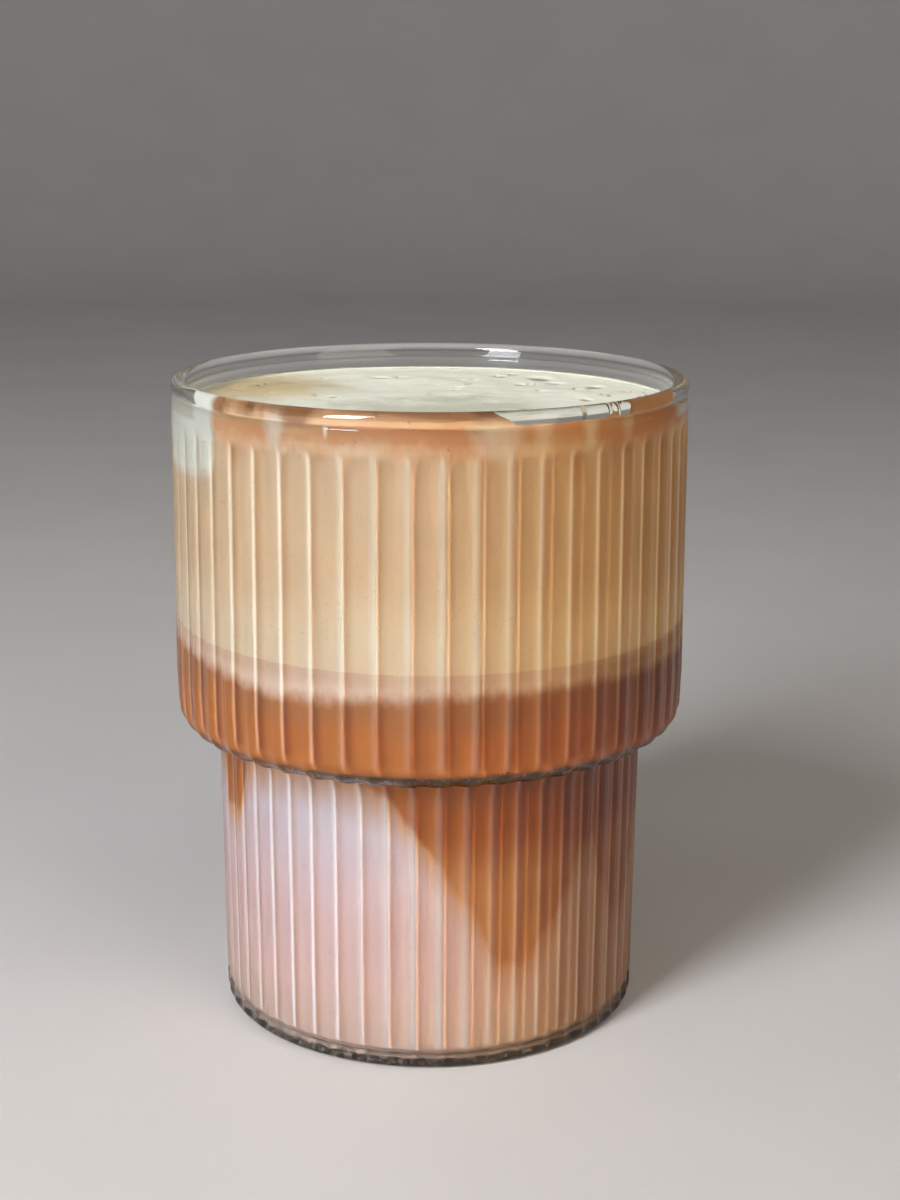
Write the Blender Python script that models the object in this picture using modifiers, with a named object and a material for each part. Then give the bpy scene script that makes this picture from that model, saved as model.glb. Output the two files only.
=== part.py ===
"""A glass of layered latte, in metres, +Z up, standing on Z = 0 with the glass's axis on Z.

The tumbler is turned in two diameters: a wide fluted body that rounds in over a shoulder to a
flat ledge and a narrower fluted body under it. Milk fills the narrow body, coffee lies on it and runs down into it along the
wall, then come a thin pale blend, the latte and a cap of foam just below the rim. Each layer is a
turned solid whose top and bottom are then raised and lowered to the level where it really ends.
"""

import bmesh
import bpy
from math import atan2, cos, degrees, floor, hypot, pi, radians, sin

MM = 0.001

# Driving dimensions of the tumbler.
HEIGHT = 100.0 * MM
UPPER_RADIUS = 39.65 * MM  # over the ridges between the flutes of the wide body
NECK_RADIUS = 33.4 * MM  # over the ridges of the narrow body, right under the shoulder
FOOT_RADIUS = 33.0 * MM  # the same at the foot
SHOULDER_Z = 49.65 * MM  # where the straight upper wall starts to round in
SHOULDER_ROUND = 3.8 * MM
LEDGE_Z = SHOULDER_Z - SHOULDER_ROUND  # the flat underside of the wide body
CROTCH_RADIUS = 1.0 * MM  # the hollow round between this underside and the narrow body
WALL = 2.2 * MM
FLOOR = 1.9 * MM
FLOOR_CORNER = 1.2 * MM  # the round between the floor and the inner wall
FOOT_ROUND = 1.2 * MM
REST_INNER_RADIUS = 28.5 * MM  # the glass rests on the flat ring outside this
PUNT = 0.6 * MM  # how far the middle of the underside is raised

# The rim: a rounded bead over a shallow neck.
BEAD_RADIUS = 1.2 * MM
BEAD_SET_BACK = 0.15 * MM
RIM_NECK_Z = 97.1 * MM
RIM_NECK_DEPTH = 0.35 * MM
SMOOTH_BAND_Z = 95.4 * MM

# The flutes, cut into the outside only.
FLUTES = 50
COLUMNS_PER_FLUTE = 3
FLUTE_DEPTH = 0.45 * MM
FLUTE_TURN = radians(-1.3)  # where the first ridge stands, from +X
UPPER_FLUTE_TOP = 95.0 * MM
UPPER_FLUTE_BOTTOM = 45.9 * MM
LOWER_FLUTE_TOP = 44.6 * MM
LOWER_FLUTE_BOTTOM = 1.6 * MM
FLUTE_RUN_OUT = 2.4 * MM

# The drink: where its layers end, and the room that they leave each other and the glass.
DRINK_COLUMNS = 50
GAP = 0.3 * MM
MILK_LEVEL = 44.8 * MM
COFFEE_LEVEL = 60.0 * MM
BLEND_LEVEL = 63.0 * MM
LATTE_LEVEL = 94.5 * MM
FOAM_LEVEL = 95.6 * MM
FOAM_MENISCUS = 0.6 * MM
FOAM_SWELL = 0.15 * MM
DIP_POWER = 2.0  # how fast a dip that starts at the wall fades towards the axis

# Dips in a level, at the wall: azimuth from the front in degrees (positive towards +X), depth, and
# the width of its left and of its right flank in degrees.
MILK_DIPS = (
    (24.0, 29.8 * MM, 38.0, 38.0),
    (65.0, 27.8 * MM, 22.0, 30.0),
    (-70.0, 10.3 * MM, 9.0, 12.0),
    (122.0, 15.5 * MM, 28.0, 32.0),
    (176.0, 24.5 * MM, 28.0, 34.0),
    (238.0, 12.5 * MM, 28.0, 24.0),
)
COFFEE_DIPS = (
    (-36.0, 1.9 * MM, 30.0, 32.0),
    (80.0, 1.3 * MM, 40.0, 40.0),
    (190.0, 1.7 * MM, 50.0, 45.0),
)
LATTE_DIPS = (
    (-76.0, 7.2 * MM, 34.0, 27.0),
    (-34.0, 0.9 * MM, 12.0, 10.0),
    (10.0, 0.7 * MM, 14.0, 12.0),
    (47.0, 0.9 * MM, 14.0, 12.0),
    (118.0, 1.4 * MM, 26.0, 22.0),
    (186.0, 2.2 * MM, 30.0, 26.0),
)

COLOURS = {
    "glass": (0.93, 0.97, 0.95),
    "milk": (0.80, 0.62, 0.55),
    "coffee": (0.46, 0.16, 0.04),
    "blend": (0.66, 0.44, 0.34),
    "latte": (0.70, 0.44, 0.20),
    "foam": (0.80, 0.79, 0.64),
}


def arc(centre_r, centre_z, radius, start, end, points):
    """Points (r, z) of an arc, from one angle to another in degrees, 0 pointing away from the axis."""
    turns = [radians(start + (end - start) * i / (points - 1)) for i in range(points)]
    return [(centre_r + radius * cos(t), centre_z + radius * sin(t)) for t in turns]


def narrow_radius(z, inset):
    """Radius of the narrow body at a height, which tapers a little to the foot."""
    share = min(max(z / LEDGE_Z, 0.0), 1.0)
    return FOOT_RADIUS + (NECK_RADIUS - FOOT_RADIUS) * share - inset


def shoulder(inset):
    """The shoulder and the crotch under it, downwards, at a distance inside the outer surface."""
    shoulder_r = UPPER_RADIUS - SHOULDER_ROUND
    crotch_r = NECK_RADIUS + CROTCH_RADIUS
    points = arc(shoulder_r, SHOULDER_Z, SHOULDER_ROUND - inset, 0, -90, 4)
    return points + arc(crotch_r, LEDGE_Z - CROTCH_RADIUS, CROTCH_RADIUS + inset, 90, 180, 3)


def outer_profile():
    """The tumbler's outside, from the middle of its top down to the middle of its underside."""
    bead_r = UPPER_RADIUS - BEAD_SET_BACK - BEAD_RADIUS
    bead = arc(bead_r, HEIGHT - BEAD_RADIUS, BEAD_RADIUS, 90, -30, 4)
    band = [(UPPER_RADIUS - RIM_NECK_DEPTH, RIM_NECK_Z), (UPPER_RADIUS, SMOOTH_BAND_Z)]
    upper = [(UPPER_RADIUS, UPPER_FLUTE_TOP - FLUTE_RUN_OUT)]
    lower_z = (LOWER_FLUTE_TOP - FLUTE_RUN_OUT, LOWER_FLUTE_BOTTOM + FLUTE_RUN_OUT)
    lower = [(narrow_radius(z, 0.0), z) for z in lower_z]
    foot = arc(FOOT_RADIUS - FOOT_ROUND, FOOT_ROUND, FOOT_ROUND, 0, -90, 2)
    rest = [(REST_INNER_RADIUS, 0.0), (REST_INNER_RADIUS - PUNT, PUNT), (0.0, PUNT)]
    return [(0.0, HEIGHT)] + bead + band + upper + shoulder(0.0) + lower + foot + rest


def lining(inset, floor_z, top_z):
    """A profile that follows the glass at a distance inside its outer surface, from top_z down."""
    corner_r = narrow_radius(floor_z + FLOOR_CORNER, inset) - FLOOR_CORNER
    side = [(UPPER_RADIUS - inset, top_z)] + shoulder(inset)
    return side + arc(corner_r, floor_z + FLOOR_CORNER, FLOOR_CORNER, 0, -90, 3)


def cavity_profile():
    """The space inside the glass, with the round inner edge of the rim, to above the glass."""
    inner_r = UPPER_RADIUS - WALL
    bead_r = UPPER_RADIUS - BEAD_SET_BACK - BEAD_RADIUS
    lip = [(0.0, HEIGHT + BEAD_RADIUS), (bead_r, HEIGHT + BEAD_RADIUS)]
    lip += [(bead_r - 0.3 * BEAD_RADIUS, HEIGHT), (inner_r, HEIGHT - BEAD_RADIUS)]
    return lip + lining(WALL, FLOOR, SHOULDER_Z + GAP) + [(0.0, FLOOR)]


def cap(radius, z, rings):
    """Points from the rim of a flat cap to the axis, without the rim's own."""
    return [(radius * (1 - i / rings), z) for i in range(1, rings + 1)]


def turned(name, profile, columns):
    """A mesh object of a profile turned round the Z axis by a Screw modifier, which is applied."""
    mesh = bpy.data.meshes.new(name + "_profile")
    edges = [(i, i + 1) for i in range(len(profile) - 1)]
    mesh.from_pydata([(r, 0.0, z) for r, z in profile], edges, [])
    guide = bpy.data.objects.new(name + "_profile", mesh)
    bpy.context.scene.collection.objects.link(guide)
    screw = guide.modifiers.new("Turn", "SCREW")
    screw.steps = screw.render_steps = columns
    screw.use_merge_vertices = True
    screw.merge_threshold = 0.01 * MM
    screw.use_smooth_shade = False
    solid = bpy.data.meshes.new_from_object(guide.evaluated_get(bpy.context.evaluated_depsgraph_get()))
    bpy.data.objects.remove(guide)
    bpy.data.meshes.remove(mesh)
    solid.name = name
    return bpy.data.objects.new(name, solid)


def run_out(z, bottom, top):
    """How much of a flute's depth is left at a height: 1 along its length, 0 past its ends."""
    return min(max(min(z - bottom, top - z) / FLUTE_RUN_OUT, 0.0), 1.0)


def press_flutes(mesh):
    """Presses concave flutes into the outer wall, with sharp ridges between them."""
    for vertex in mesh.vertices:
        x, y, z = vertex.co
        radius = hypot(x, y)
        turn = atan2(y, x) / (2 * pi) * FLUTES
        across = turn - floor(turn + 1e-4)
        length = max(
            run_out(z, UPPER_FLUTE_BOTTOM, UPPER_FLUTE_TOP),
            run_out(z, LOWER_FLUTE_BOTTOM, LOWER_FLUTE_TOP),
        )
        if length == 0.0 or radius < FOOT_RADIUS - FOOT_ROUND:
            continue
        depth = FLUTE_DEPTH * length * max(4 * across * (1 - across), 0.0)
        vertex.co.x *= 1 - depth / radius
        vertex.co.y *= 1 - depth / radius


def dip(azimuth, dips):
    """The deepest of the dips at an azimuth, each a notch with straight flanks."""
    deepest = 0.0
    for centre, depth, left, right in dips:
        away = (azimuth - centre + 180) % 360 - 180
        share = 1 - (-away / left if away < 0 else away / right)
        deepest = max(deepest, depth * share)
    return deepest


def levelled(level, dips):
    """A height as a function of x and y: a level with dips that are deepest at the wall."""

    def height(x, y):
        radius = hypot(x, y)
        wall = UPPER_RADIUS if level > SHOULDER_Z else NECK_RADIUS
        azimuth = degrees(atan2(x, -y))
        return level - dip(azimuth, dips) * (radius / (wall - WALL)) ** DIP_POWER

    return height


def foam_height(x, y):
    """The foam's top: gently swelling, and drawn up the wall where it meets the glass."""
    share = hypot(x, y) / (UPPER_RADIUS - WALL)
    swell = sin(x / (9 * MM)) * cos(y / (11 * MM) + 0.6)
    return FOAM_LEVEL + FOAM_MENISCUS * share**8 + FOAM_SWELL * swell * (1 - share**8)


def split_cap(cage, on_cap):
    """Splits a cap's four-sided faces the same way on every layer, so that facing caps stay apart."""
    for face in list(cage.faces):
        if len(face.verts) != 4 or not all(vertex in on_cap for vertex in face.verts):
            continue
        inner_a, inner_b, *outer = sorted(face.verts, key=lambda vertex: vertex.co.xy.length)
        first = inner_a if inner_a.co.xy.cross(inner_b.co.xy) > 0 else inner_b
        far = max(outer, key=lambda vertex: abs(first.co.xy.cross(vertex.co.xy)))
        bmesh.utils.face_split(face, first, far)


def shape_cap(mesh, flat_z, height, lift):
    """Moves every vertex of a flat cap to a height function, and its rim with the wall's taper."""
    cage = bmesh.new()
    cage.from_mesh(mesh)
    on_cap = {vertex for vertex in cage.verts if abs(vertex.co.z - flat_z) < 0.001 * MM}
    split_cap(cage, on_cap)
    for vertex in on_cap:
        vertex.co.z = height(vertex.co.x, vertex.co.y) + lift
        if flat_z < SHOULDER_Z:
            vertex.co.xy *= narrow_radius(vertex.co.z, 0.0) / narrow_radius(flat_z, 0.0)
    cage.to_mesh(mesh)
    cage.free()


def layer(name, side, bottom, top, bottom_rings, top_rings):
    """One layer of the drink: its side, turned, and its two caps, brought to their heights.

    bottom and top are (flat height, height function, lift), and a None function leaves it flat.
    """
    profile = cap(side[0][0], top[0], top_rings)[::-1] + side
    profile += cap(side[-1][0], bottom[0], bottom_rings)
    made = turned(name, profile, DRINK_COLUMNS)
    for flat_z, height, lift in (bottom, top):
        if height is not None:
            shape_cap(made.data, flat_z, height, lift)
    return made


def make_glass(parts, cutters):
    """The tumbler: turned outside, pressed flutes, and the cavity cut out of it."""
    glass = turned("glass_tumbler", outer_profile(), FLUTES * COLUMNS_PER_FLUTE)
    press_flutes(glass.data)
    glass.rotation_euler.z = FLUTE_TURN
    parts.objects.link(glass)
    cavity = turned("cavity", cavity_profile(), DRINK_COLUMNS)
    cavity.hide_render = True
    cavity.display_type = "WIRE"
    cutters.objects.link(cavity)
    cut = glass.modifiers.new("Cavity", "BOOLEAN")
    cut.operation = "DIFFERENCE"
    cut.solver = "EXACT"
    cut.object = cavity
    return glass


def make_drink():
    """The five layers, from the floor of the glass up."""
    inset = WALL + GAP
    full = lining(inset, FLOOR + GAP, SHOULDER_Z)
    shoulder_points = len(shoulder(inset)) + 1
    upper_r = UPPER_RADIUS - inset
    milk_top = levelled(MILK_LEVEL, MILK_DIPS)
    coffee_top = levelled(COFFEE_LEVEL, COFFEE_DIPS)
    latte_top = levelled(LATTE_LEVEL, LATTE_DIPS)
    neck_z = full[shoulder_points - 1][1]
    milk_side = [(narrow_radius(neck_z, inset), neck_z)] + full[shoulder_points:]
    coffee_base_z = neck_z - GAP
    coffee_side = [(upper_r, COFFEE_LEVEL)] + full[1:shoulder_points]
    coffee_side += [(narrow_radius(coffee_base_z, inset), coffee_base_z)]
    half = GAP / 2
    return {
        "milk": layer(
            "milk_layer",
            milk_side,
            (FLOOR + GAP, None, 0.0),
            (neck_z, milk_top, -half),
            1,
            3,
        ),
        "coffee": layer(
            "coffee_layer",
            coffee_side,
            (coffee_base_z, milk_top, half),
            (COFFEE_LEVEL, coffee_top, -half),
            3,
            2,
        ),
        "blend": layer(
            "pale_blend_band",
            [(upper_r, BLEND_LEVEL), (upper_r, COFFEE_LEVEL)],
            (COFFEE_LEVEL, coffee_top, half),
            (BLEND_LEVEL, lambda x, y: BLEND_LEVEL, -half),
            2,
            1,
        ),
        "latte": layer(
            "latte_layer",
            [(upper_r, LATTE_LEVEL), (upper_r, BLEND_LEVEL)],
            (BLEND_LEVEL, lambda x, y: BLEND_LEVEL, half),
            (LATTE_LEVEL, latte_top, -half),
            1,
            2,
        ),
        "foam": layer(
            "foam_cap",
            [(upper_r, FOAM_LEVEL), (upper_r, LATTE_LEVEL)],
            (LATTE_LEVEL, latte_top, half),
            (FOAM_LEVEL, foam_height, 0.0),
            2,
            3,
        ),
    }


def dress(obj, kind):
    """Gives a solid its own material and smooth shading with its real edges kept."""
    material = bpy.data.materials.new(kind)
    material.use_nodes = True
    shader = material.node_tree.nodes["Principled BSDF"]
    shader.inputs["Base Color"].default_value = (*COLOURS[kind], 1.0)
    shader.inputs["Metallic"].default_value = 0.0
    shader.inputs["Roughness"].default_value = 0.05 if kind == "glass" else 0.4
    if kind == "glass":
        shader.inputs["Transmission Weight"].default_value = 1.0
    obj.data.materials.append(material)
    obj.data.shade_smooth()
    obj.data.set_sharp_from_angle(angle=radians(40))


def main():
    for obj in list(bpy.data.objects):
        bpy.data.objects.remove(obj)
    parts = bpy.data.collections.new("glass_of_latte")
    cutters = bpy.data.collections.new("cutters")
    bpy.context.scene.collection.children.link(parts)
    bpy.context.scene.collection.children.link(cutters)
    dress(make_glass(parts, cutters), "glass")
    for kind, solid in make_drink().items():
        parts.objects.link(solid)
        dress(solid, kind)


main()
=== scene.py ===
"""Looks for a glass of layered latte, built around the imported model, in metres, +Z up.

The glass is one sector of a flute, spun out of a chain of points, pressed and copied round the axis.
The drink's layers are spun, then poured to their levels, and reach just into the wall of the glass.
Azimuths are in degrees from the front (-Y), positive towards +X.
"""

import logging
import random
from dataclasses import dataclass
from enum import Enum
from functools import reduce
from math import atan2, cos, degrees, hypot, pi, radians, sin, sqrt

import bpy
import numpy as np
from mathutils import Matrix, Vector, noise


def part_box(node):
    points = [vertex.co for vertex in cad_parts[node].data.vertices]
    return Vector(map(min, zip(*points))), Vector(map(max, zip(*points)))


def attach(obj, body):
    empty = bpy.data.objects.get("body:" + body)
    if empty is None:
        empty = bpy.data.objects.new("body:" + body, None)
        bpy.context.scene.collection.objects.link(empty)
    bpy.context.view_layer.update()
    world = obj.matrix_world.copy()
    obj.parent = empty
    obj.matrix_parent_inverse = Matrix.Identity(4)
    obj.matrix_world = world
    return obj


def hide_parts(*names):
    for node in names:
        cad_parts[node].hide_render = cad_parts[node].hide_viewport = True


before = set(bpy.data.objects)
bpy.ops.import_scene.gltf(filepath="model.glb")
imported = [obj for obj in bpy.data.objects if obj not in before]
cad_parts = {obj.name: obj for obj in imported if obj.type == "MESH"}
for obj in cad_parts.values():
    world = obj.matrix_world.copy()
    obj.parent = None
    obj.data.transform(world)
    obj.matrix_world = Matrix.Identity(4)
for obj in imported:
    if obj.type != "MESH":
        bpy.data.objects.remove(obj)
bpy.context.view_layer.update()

MM = 0.001
BODY = "root"
LOG = logging.getLogger("latte")
ROUND_Z = {"center": (0.0, 0.0, 0.0), "axis": (0.0, 0.0, 1.0)}

Point = tuple[float, float]
Place = tuple[float, float, float]
Colour = tuple[float, float, float]
Window = tuple[float, float, float, float]
Socket = bpy.types.NodeSocket
Tree = bpy.types.NodeTree


class Slot(Enum):
    """The record's material slots."""

    GLASS = "glass"
    MILK = "milk"
    COFFEE = "coffee"
    BLEND = "blend"
    LATTE = "latte"
    FOAM = "foam"


class Mark(Enum):
    """Names of the values that a drink's mesh keeps for its finish, in metres above a level."""

    ABOVE_MILK = "above_milk"
    ABOVE_COFFEE = "above_coffee"
    ABOVE_LATTE = "above_latte"


def mm(*lengths: float) -> tuple[float, ...]:
    """Returns lengths in metres, from millimetres."""
    return tuple(length * MM for length in lengths)


def arc(centre: Point, radius: float, start: float, end: float, points: int) -> list[Point]:
    """Points of an arc in a profile.

    Args:
        centre: Radius and height of the arc's centre.
        radius: The arc's own radius.
        start: First angle in degrees, 0 pointing away from the axis.
        end: Last angle in degrees.
        points: How many points, both ends included.

    Returns:
        The points, as (radius, height).
    """
    turns = [radians(start + (end - start) * i / (points - 1)) for i in range(points)]
    return [(centre[0] + radius * cos(t), centre[1] + radius * sin(t)) for t in turns]


def eased(value: float, low: float, high: float) -> float:
    """Returns 0 below low, 1 above high and a smooth step between them."""
    share = min(max((value - low) / (high - low), 0.0), 1.0)
    return share * share * (3 - 2 * share)


# ---------------------------------------- bench


class Bench:
    """Modelling by hand: each call adds to, or shapes, the one object that is being worked on."""

    def __init__(self, name: str) -> None:
        """Adds a small plane, merges it to a single vertex and stays in edit mode.

        Args:
            name: The new object's name.
        """
        bpy.ops.object.select_all(action="DESELECT")
        bpy.ops.mesh.primitive_plane_add(size=MM, location=(0.0, 0.0, 0.0))
        self.piece = bpy.context.active_object
        self.piece.name = self.piece.data.name = name
        bpy.ops.object.mode_set(mode="EDIT")
        bpy.ops.mesh.select_mode(type="VERT")
        bpy.ops.mesh.select_all(action="SELECT")
        bpy.ops.mesh.merge(type="CENTER")

    def chain(self, outline: list[Point]) -> None:
        """Extrudes the vertex along an outline in the plane of X and Z.

        Args:
            outline: (radius, height) of each point.
        """
        at = (0.0, 0.0)
        for index, (radius, height) in enumerate(outline):
            step = (radius - at[0], 0.0, height - at[1])
            if index == 0:
                bpy.ops.transform.translate(value=step)
            else:
                bpy.ops.mesh.extrude_vertices_move(TRANSFORM_OT_translate={"value": step})
            at = (radius, height)

    def spin(self, turns: list[float]) -> None:
        """Spins the chain round the axis, column by column.

        Args:
            turns: The width of each column in degrees.
        """
        bpy.ops.mesh.select_all(action="SELECT")
        for turn in turns:
            bpy.ops.mesh.spin(steps=1, angle=radians(turn), **ROUND_Z)

    def spin_whole(self, columns: int) -> None:
        """Spins the chain once round the axis in equal columns."""
        bpy.ops.mesh.select_all(action="SELECT")
        bpy.ops.mesh.spin(steps=columns, angle=2 * pi, **ROUND_Z)

    def copy_round(self, copies: int) -> None:
        """Copies everything round the axis, so that the copies fill the circle."""
        bpy.ops.mesh.select_all(action="SELECT")
        bpy.ops.mesh.spin(dupli=True, steps=copies - 1, angle=2 * pi * (copies - 1) / copies, **ROUND_Z)

    def close(self) -> None:
        """Merges seams and poles and turns every face outwards."""
        bpy.ops.mesh.select_all(action="SELECT")
        bpy.ops.mesh.remove_doubles(threshold=0.001 * MM)
        bpy.ops.mesh.normals_make_consistent(inside=False)

    def leave(self) -> bpy.types.Object:
        """Leaves edit mode and shades the piece smooth.

        Returns:
            The piece.
        """
        bpy.ops.object.mode_set(mode="OBJECT")
        self.piece.data.shade_smooth()
        return self.piece


def points_of(piece: bpy.types.Object) -> np.ndarray:
    """Reads a piece's vertices.

    Args:
        piece: The piece.

    Returns:
        An array of n rows and 3 columns.
    """
    flat = np.empty(len(piece.data.vertices) * 3, np.float32)
    piece.data.vertices.foreach_get("co", flat)
    return flat.reshape(-1, 3).astype(float)


def move_points(piece: bpy.types.Object, points: np.ndarray) -> None:
    """Moves a piece's vertices to the points given."""
    piece.data.vertices.foreach_set("co", points.astype(np.float32).ravel())
    piece.data.update()


def keep_value(piece: bpy.types.Object, mark: Mark, values: np.ndarray) -> None:
    """Keeps one number for each vertex, for the finish to read."""
    layer = piece.data.attributes.new(mark.value, "FLOAT", "POINT")
    layer.data.foreach_set("value", values.astype(np.float32))


def hand_over(piece: bpy.types.Object, slot: Slot, material: bpy.types.Material, *nodes: str) -> None:
    """Dresses a finished piece and ties it to the frame.

    Args:
        piece: The finished piece, with its place in its mesh.
        slot: The record's slot that the piece stands for, which is only logged.
        material: Its finish.
        nodes: The CAD nodes that it stands for.
    """
    piece.data.materials.clear()
    piece.data.materials.append(material)
    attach(piece, BODY)
    if nodes:
        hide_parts(*nodes)
    faces = sum(len(polygon.vertices) - 2 for polygon in piece.data.polygons)
    LOG.info("%s: %d triangles, slot %s, stands for %s", piece.name, faces, slot.value, nodes)


# ---------------------------------------- nodes


@dataclass(frozen=True)
class Pattern:
    """A pattern of noise: the size of its features, its finer layers, and their strength.

    A number under 1 for up draws the pattern out upwards.
    """

    size: float
    detail: float = 2.0
    rough: float = 0.5
    up: float = 1.0


class Graph:
    """A node tree, with short calls for the nodes that the finishes share."""

    def __init__(self, tree: Tree) -> None:
        """Works on a tree that is already there."""
        self.tree = tree

    def feed(self, socket: Socket, value: object) -> None:
        """Links a socket to an input, or sets the input's own value.

        Args:
            socket: The input.
            value: A socket or a value.
        """
        if isinstance(value, Socket):
            self.tree.links.new(value, socket)
        else:
            socket.default_value = value

    def fill(self, node: bpy.types.Node, **inputs: object) -> None:
        """Feeds a node's inputs by their names, with underscores for spaces."""
        for name, value in inputs.items():
            self.feed(node.inputs[name.replace("_", " ")], value)

    def add(self, kind: str, inputs: dict | None = None, **settings: object) -> bpy.types.Node:
        """Adds a node.

        Args:
            kind: The node's type name.
            inputs: Values or sockets for its inputs, by name or number.
            settings: The node's own properties.

        Returns:
            The new node.
        """
        node = self.tree.nodes.new(kind)
        for name, value in settings.items():
            setattr(node, name, value)
        for name, value in (inputs or {}).items():
            self.feed(node.inputs[name], value)
        return node

    def group(self, tree: Tree, **inputs: object) -> bpy.types.Node:
        """Adds a node group.

        Args:
            tree: The group's tree.
            inputs: Values or sockets for its inputs, with underscores for spaces.

        Returns:
            The new node.
        """
        node = self.add("ShaderNodeGroup", node_tree=tree)
        self.fill(node, **inputs)
        return node

    def math(self, operation: str, *values: object, clamp: bool = False) -> Socket:
        """Returns the result of a Math node on one to three values."""
        inputs = dict(enumerate(values))
        return self.add("ShaderNodeMath", inputs, operation=operation, use_clamp=clamp).outputs[0]

    def times(self, *values: object) -> Socket:
        """Returns the product of two or more values."""
        return reduce(lambda product, value: self.math("MULTIPLY", product, value), values)

    def minus(self, value: object, less: object) -> Socket:
        """Returns a value less another."""
        return self.math("SUBTRACT", value, less)

    def moved(self, value: object, wave: Socket, amount: float) -> Socket:
        """Returns a value that a wave moves up and down by an amount."""
        return self.math("MULTIPLY_ADD", wave, amount, value)

    def span(
        self, value: object, low: object, high: object, to_low: float = 0.0, to_high: float = 1.0
    ) -> Socket:
        """Returns a smooth step of a value between low and high, brought to another range."""
        inputs = {"Value": value, "From Min": low, "From Max": high, "To Min": to_low, "To Max": to_high}
        return self.add("ShaderNodeMapRange", inputs, interpolation_type="SMOOTHSTEP").outputs[0]

    def between(self, value: object, window: Window) -> Socket:
        """Returns 1 in the middle stretch of a window of four values, easing to 0 at its ends."""
        start, full, last, end = window
        return self.times(self.span(value, start, full), self.span(value, end, last))

    def mix(self, share: object, first: object, second: object, how: str = "MIX") -> Socket:
        """Mixes two colours.

        Args:
            share: How much of the second there is, from 0 to 1.
            first: A colour or a socket.
            second: A colour or a socket.
            how: The node's way of mixing.

        Returns:
            The mixed colour.
        """
        node = self.add("ShaderNodeMix", data_type="RGBA", blend_type=how)
        for index, value in ((0, share), (6, first), (7, second)):
            self.feed(node.inputs[index], (*value, 1.0) if isinstance(value, tuple) else value)
        return node.outputs[2]

    def ramp(self, value: object, ends: Point, stops: tuple[tuple[float, Colour], ...]) -> Socket:
        """Makes a colour that changes with a value.

        Args:
            value: What it changes with.
            ends: The values at shares 0 and 1.
            stops: Shares and their colours.

        Returns:
            The colour.
        """
        inputs = {"Value": value, "From Min": ends[0], "From Max": ends[1]}
        node = self.add("ShaderNodeValToRGB", {0: self.add("ShaderNodeMapRange", inputs).outputs[0]})
        node.color_ramp.interpolation = "EASE"
        elements = node.color_ramp.elements
        while len(elements) < len(stops):
            elements.new(0.5)
        for element, (place, colour) in zip(elements, stops):
            element.position = place
            element.color = (*colour, 1.0)
        return node.outputs[0]

    def place(self) -> Socket:
        """Returns the point of the surface in the object's own coordinates."""
        return self.add("ShaderNodeTexCoord").outputs["Object"]

    def polar(self, place: Socket) -> tuple[Socket, Socket, Socket]:
        """Turns a point into an azimuth, a height and a radius.

        Args:
            place: The point.

        Returns:
            The azimuth from the front in degrees, the height and the radius.
        """
        split = self.add("ShaderNodeSeparateXYZ", {0: place}).outputs
        forward = self.times(split["Y"], -1.0)
        turn = self.math("DEGREES", self.math("ARCTAN2", split["X"], forward))
        squares = self.math("ADD", self.math("POWER", split["X"], 2.0), self.math("POWER", forward, 2.0))
        return turn, split["Z"], self.math("SQRT", squares)

    def noise(self, vector: Socket, pattern: Pattern, **inputs: object) -> Socket:
        """Makes noise.

        Args:
            vector: Where, in metres.
            pattern: Its pattern.
            inputs: Values or sockets for the node's inputs, which go before the pattern's.

        Returns:
            Its value, from 0 to 1.
        """
        if pattern.up != 1.0:
            drawn = {"Vector": vector, "Scale": (1.0, 1.0, pattern.up)}
            vector = self.add("ShaderNodeMapping", drawn).outputs[0]
        given = {"Vector": vector, "Scale": 1 / pattern.size, "Detail": pattern.detail}
        return self.add("ShaderNodeTexNoise", given | {"Roughness": pattern.rough} | inputs).outputs[0]

    def wave(self, vector: Socket, pattern: Pattern, **inputs: object) -> Socket:
        """Returns the same noise from -0.5 to 0.5."""
        return self.minus(self.noise(vector, pattern, **inputs), 0.5)

    def drink_colour(self, drink: Tree) -> Socket:
        """Returns the drink's colour at a place, read from the values kept on the piece."""
        kept = {mark.value: self.add("ShaderNodeAttribute", attribute_name=mark.value) for mark in Mark}
        return self.group(drink, **{name.capitalize(): kept[name].outputs["Fac"] for name in kept}).outputs[0]


class Group(Graph):
    """A shader node group with named sockets, which more than one finish uses."""

    def __init__(self, name: str, takes: dict[str, float], *gives: str) -> None:
        """Makes the group's sockets.

        Args:
            name: The group's name.
            takes: Its inputs, all numbers, with their starting values.
            gives: Its outputs, all numbers apart from one named Color.
        """
        super().__init__(bpy.data.node_groups.new(name, "ShaderNodeTree"))
        sockets = self.tree.interface
        for title, value in takes.items():
            socket = sockets.new_socket(title, in_out="INPUT", socket_type="NodeSocketFloat")
            socket.default_value = value
        for title in gives:
            kind = "NodeSocketColor" if title == "Color" else "NodeSocketFloat"
            sockets.new_socket(title, in_out="OUTPUT", socket_type=kind)
        self.taken = self.add("NodeGroupInput").outputs
        self.end = self.add("NodeGroupOutput")

    def give(self, **outputs: Socket) -> Tree:
        """Feeds the group's outputs and returns its tree."""
        self.fill(self.end, **outputs)
        return self.tree


def group_inputs(sizes: object) -> dict[str, float]:
    """Returns the sizes that a dataclass holds, under the names of a group's inputs."""
    return {name.capitalize(): value for name, value in vars(sizes).items() if isinstance(value, float)}


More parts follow.
